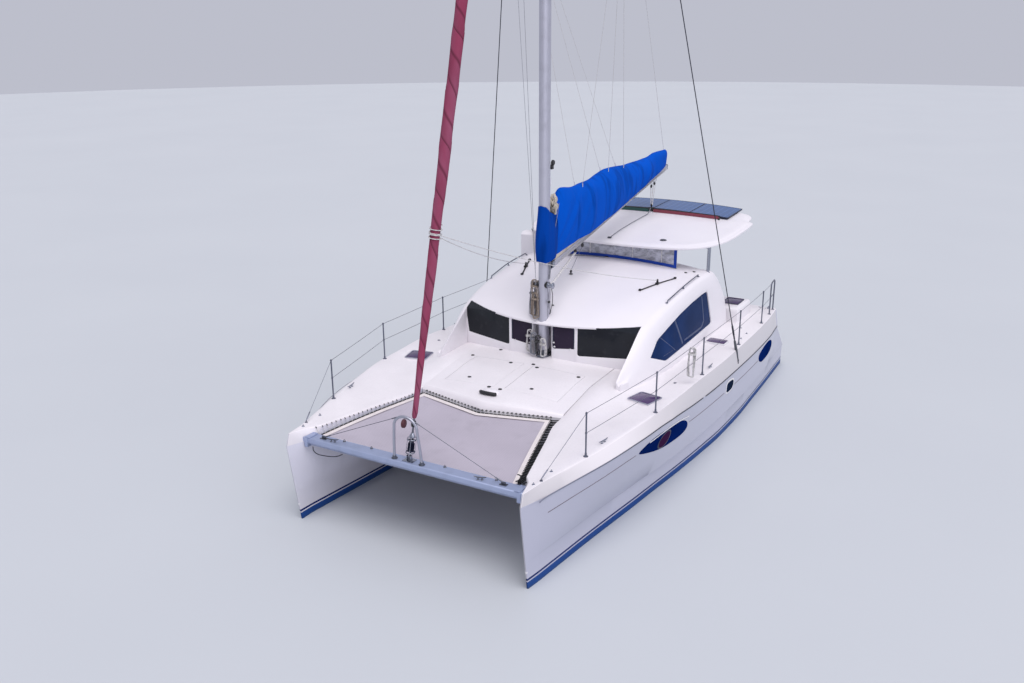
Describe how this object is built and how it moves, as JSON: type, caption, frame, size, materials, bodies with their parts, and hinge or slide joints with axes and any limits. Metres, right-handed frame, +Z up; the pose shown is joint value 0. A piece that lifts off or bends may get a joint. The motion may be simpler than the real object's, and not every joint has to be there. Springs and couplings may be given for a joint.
{
  "type": "sailing catamaran",
  "caption": "Cruising catamaran afloat: twin hulls, domed cabin, cockpit hardtop, furled jib, stowed mainsail under its cover, trampoline and bow crossbeam.",
  "frame": {"origin": "on the centreline at the waterline, amidships, 6.01 m aft of the foremost points of the bows", "axes": "+X to port, +Y aft, +Z up"},
  "size_m": [6.116, 12.046, 19.95],
  "materials": {
    "hull": "polished white gelcoat",
    "gelcoat": "white gelcoat",
    "glass": "dark tinted",
    "tinted": "violet tinted",
    "alloy": "satin anodised",
    "steel": "polished stainless",
    "sail": "sun-faded red cloth",
    "canvas": "bright blue acrylic canvas",
    "net": "open woven mesh",
    "dark": "black",
    "antifouling": "matt blue antifouling",
    "bronze": "bronze",
    "vinyl": "clear flexible sheet",
    "cushion": "woven",
    "panel": "dark blue cells under glass",
    "engine": "grey"
  },
  "bodies": {
    "boat": {"hull_port": "hull", "hull_starboard": "hull", "bridgedeck": "gelcoat", "foredeck": "gelcoat", "coachroof": "gelcoat", "saloon_front": "gelcoat", "front_window_port": "glass", "front_window_starboard": "glass", "front_hatch_port": "tinted", "front_hatch_starboard": "tinted", "side_window_port": "glass", "side_window_starboard": "glass", "saloon_bulkhead": "gelcoat", "mast": "alloy", "shroud_port": "steel", "shroud_starboard": "steel", "furler": "dark", "furled_jib": "sail", "cover_apron": "canvas", "crossbeam": "alloy", "bow_hoop": "steel", "trampoline": "net", "hardtop": "gelcoat", "hardtop_frame": "steel", "solar_panels": "panel", "traveller": "dark", "windscreen": "vinyl", "helm_console": "gelcoat", "helm_seat": "gelcoat", "cockpit_bench": "gelcoat", "bench_cushion": "cushion", "side_cushion": "cushion", "cockpit_table": "gelcoat", "saloon_sofa": "cushion", "lifelines_port": "steel", "lifelines_starboard": "steel", "keel_port": "antifouling", "keel_starboard": "antifouling", "saildrive_port": "engine", "saildrive_starboard": "engine", "engine_port": "engine", "engine_starboard": "engine"},
    "boom_and_sail": {"boom": "alloy", "mainsail_cover": "canvas"},
    "engine_lid_port": {"engine_lid_port": "gelcoat"},
    "engine_lid_starboard": {"engine_lid_starboard": "gelcoat"},
    "locker_lid_port": {"locker_lid_port": "gelcoat"},
    "locker_lid_starboard": {"locker_lid_starboard": "gelcoat"},
    "fore_hatch_port": {"fore_hatch_port": "tinted"},
    "fore_hatch_starboard": {"fore_hatch_starboard": "tinted"},
    "aft_hatch_port": {"aft_hatch_port": "tinted"},
    "aft_hatch_starboard": {"aft_hatch_starboard": "tinted"},
    "saloon_door": {"saloon_door": "glass"},
    "helm_wheel": {"helm_wheel": "steel"},
    "rudder_port": {"rudder_port": "antifouling"},
    "rudder_starboard": {"rudder_starboard": "antifouling"},
    "propeller_port": {"propeller_port": "bronze"},
    "propeller_starboard": {"propeller_starboard": "bronze"},
    "swim_ladder": {"swim_ladder": "steel"}
  },
  "joints": [
    {"name": "boom_swing", "type": "hinge", "parent": "boat", "child": "boom_and_sail", "pos_m": [0, -0.94, 3.6475], "axis": [0, 0, 1], "range_deg": [-40, 40]},
    {"name": "engine_lid_port_hinge", "type": "hinge", "parent": "boat", "child": "engine_lid_port", "pos_m": [2.35, 4.423, 1.692], "axis": [1, 0, 0], "range_deg": [0, 80]},
    {"name": "engine_lid_starboard_hinge", "type": "hinge", "parent": "boat", "child": "engine_lid_starboard", "pos_m": [-2.35, 4.423, 1.692], "axis": [1, 0, 0], "range_deg": [0, 80]},
    {"name": "locker_lid_port_hinge", "type": "hinge", "parent": "boat", "child": "locker_lid_port", "pos_m": [0.645, -1.723, 1.908], "axis": [-1, 0, 0], "range_deg": [0, 80]},
    {"name": "locker_lid_starboard_hinge", "type": "hinge", "parent": "boat", "child": "locker_lid_starboard", "pos_m": [-0.645, -1.723, 1.908], "axis": [-1, 0, 0], "range_deg": [0, 80]},
    {"name": "fore_hatch_port_hinge", "type": "hinge", "parent": "boat", "child": "fore_hatch_port", "pos_m": [2.3735, -2.1131, 1.7403], "axis": [0.9744, -0.225, 0], "range_deg": [0, 85]},
    {"name": "fore_hatch_starboard_hinge", "type": "hinge", "parent": "boat", "child": "fore_hatch_starboard", "pos_m": [-2.3735, -2.1131, 1.7403], "axis": [0.9744, 0.225, 0], "range_deg": [0, 85]},
    {"name": "aft_hatch_port_hinge", "type": "hinge", "parent": "boat", "child": "aft_hatch_port", "pos_m": [2.18, 3.646, 2.0323], "axis": [1, 0, 0], "range_deg": [0, 85]},
    {"name": "aft_hatch_starboard_hinge", "type": "hinge", "parent": "boat", "child": "aft_hatch_starboard", "pos_m": [-2.18, 3.646, 2.0323], "axis": [1, 0, 0], "range_deg": [0, 85]},
    {"name": "saloon_door_slide", "type": "slide", "parent": "boat", "child": "saloon_door", "axis": [1, 0, 0], "range_m": [0, 0.8]},
    {"name": "rudder_port_turn", "type": "hinge", "parent": "boat", "child": "rudder_port", "pos_m": [2.36, 5.3, -0.5], "axis": [0, 0, 1], "range_deg": [-35, 35]},
    {"name": "rudder_starboard_turn", "type": "hinge", "parent": "boat", "child": "rudder_starboard", "pos_m": [-2.36, 5.3, -0.5], "axis": [0, 0, 1], "range_deg": [-35, 35]},
    {"name": "helm_wheel_turn", "type": "hinge", "parent": "boat", "child": "helm_wheel", "pos_m": [-1.78, 2.89, 2.78], "axis": [0, -1, 0], "range_deg": [-450, 450]},
    {"name": "propeller_port_spin", "type": "hinge", "parent": "boat", "child": "propeller_port", "pos_m": [2.35, 4.13, -0.64], "axis": [0, 1, 0], "continuous": true},
    {"name": "propeller_starboard_spin", "type": "hinge", "parent": "boat", "child": "propeller_starboard", "pos_m": [-2.35, 4.13, -0.64], "axis": [0, 1, 0], "continuous": true},
    {"name": "swim_ladder_fold", "type": "hinge", "parent": "boat", "child": "swim_ladder", "pos_m": [2.37, 6.02, 0.33], "axis": [-1, 0, 0], "range_deg": [0, 175]}
  ],
  "couplings": [
    {"joint": "rudder_starboard_turn", "follows": "rudder_port_turn", "ratio": 1},
    {"joint": "helm_wheel_turn", "follows": "rudder_port_turn", "ratio": 12.85}
  ]
}
